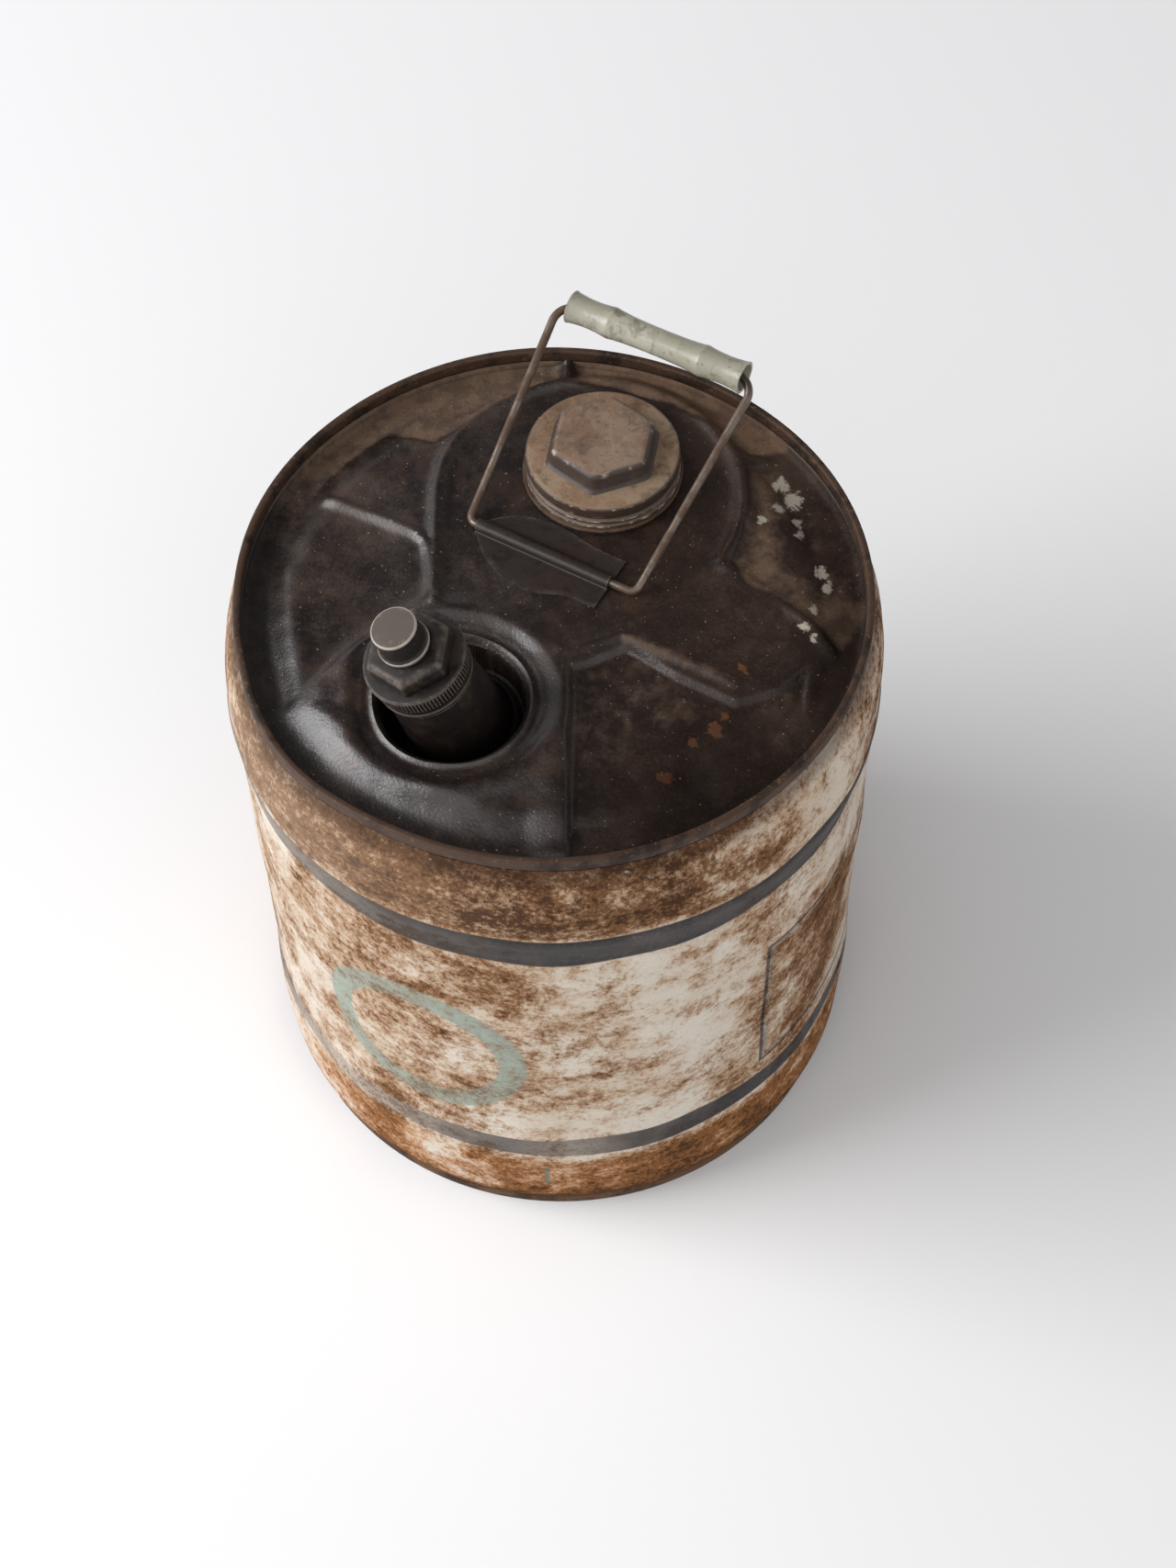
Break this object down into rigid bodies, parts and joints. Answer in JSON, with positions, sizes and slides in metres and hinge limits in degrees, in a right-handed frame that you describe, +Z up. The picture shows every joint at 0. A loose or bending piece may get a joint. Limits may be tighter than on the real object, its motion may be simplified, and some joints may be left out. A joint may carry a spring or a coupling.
{
  "type": "motor oil can",
  "caption": "Round steel motor oil can with seamed heads, a hex screw cap on the fill neck, a leaning screw-closed pour spout and a folding wire bail with a plastic grip.",
  "frame": {"origin": "centre of the can's base, on the floor it stands on", "axes": "+Z up along the can's axis; -Y towards the front, the side with the spout; +X to the right seen from the front"},
  "size_m": [0.3, 0.3, 0.39],
  "materials": {
    "painted_shell": "worn cream paint over rusted steel",
    "dark_steel": "dark oiled and oxidised steel, satin",
    "rusty_steel": "rough brown rust",
    "dusty_steel": "dusty brown oxidised steel, matte",
    "black_steel": "blackened steel, satin, worn bright at the edges",
    "wire_steel": "tarnished wire with light rust",
    "grip_plastic": "grey-green, soiled",
    "black_rubber": "matte",
    "seam_compound": "matte"
  },
  "bodies": {
    "root": {"body_shell": "painted_shell", "bottom_head": "dark_steel", "bottom_chime": "rusty_steel", "bottom_seam_compound": "seam_compound", "top_head": "dark_steel", "top_chime": "rusty_steel", "top_seam_compound": "seam_compound", "fill_neck": "dusty_steel", "fill_neck_gasket": "black_rubber", "spout_gasket": "black_rubber", "spout_seat_ring": "black_steel", "spout_tube": "black_steel", "handle_strap": "dark_steel"},
    "fill_cap_seal": {"fill_cap_gasket": "black_rubber"},
    "fill_cap": {"fill_cap": "dusty_steel"},
    "spout_closure_seal": {"spout_closure_gasket": "black_rubber"},
    "spout_closure": {"spout_collar": "black_steel", "spout_disc": "dusty_steel", "spout_nut": "black_steel"},
    "spout_plug_seal": {"spout_plug_washer": "black_rubber"},
    "spout_plug": {"spout_plug": "black_steel"},
    "bail": {"bail_wire": "wire_steel"},
    "grip": {"handle_grip": "grip_plastic"}
  },
  "joints": [
    {"name": "fill_cap_lift", "type": "slide", "parent": "root", "child": "fill_cap_seal", "axis": [0, 0, 1], "range_m": [0, 0.008]},
    {"name": "fill_cap_turn", "type": "hinge", "parent": "fill_cap_seal", "child": "fill_cap", "pos_m": [0.024, 0.072, 0.33], "axis": [0, 0, 1], "range_deg": [0, 720]},
    {"name": "spout_closure_lift", "type": "slide", "parent": "root", "child": "spout_closure_seal", "axis": [-0.2789, -0.1032, 0.9548], "range_m": [0, 0.012]},
    {"name": "spout_closure_turn", "type": "hinge", "parent": "spout_closure_seal", "child": "spout_closure", "pos_m": [-0.044, -0.056, 0.313], "axis": [-0.2789, -0.1032, 0.9548], "range_deg": [0, 1440]},
    {"name": "spout_plug_lift", "type": "slide", "parent": "spout_closure", "child": "spout_plug_seal", "axis": [-0.2789, -0.1032, 0.9548], "range_m": [0, 0.012]},
    {"name": "spout_plug_turn", "type": "hinge", "parent": "spout_plug_seal", "child": "spout_plug", "pos_m": [-0.044, -0.056, 0.313], "axis": [-0.2789, -0.1032, 0.9548], "range_deg": [0, 2160]},
    {"name": "bail_swing", "type": "hinge", "parent": "root", "child": "bail", "pos_m": [0, 0.0217, 0.3231], "axis": [0.8652, -0.5015, 0], "range_deg": [-17, 110]},
    {"name": "grip_spin", "type": "hinge", "parent": "bail", "child": "grip", "pos_m": [0.04964, 0.10734, 0.36968], "axis": [0.8652, -0.5015, 0], "continuous": true}
  ],
  "couplings": [
    {"joint": "fill_cap_lift", "follows": "fill_cap_turn", "m_per_rad": 0.0006366},
    {"joint": "spout_closure_lift", "follows": "spout_closure_turn", "m_per_rad": 0.0004774},
    {"joint": "spout_plug_lift", "follows": "spout_plug_turn", "m_per_rad": 0.0003183}
  ]
}
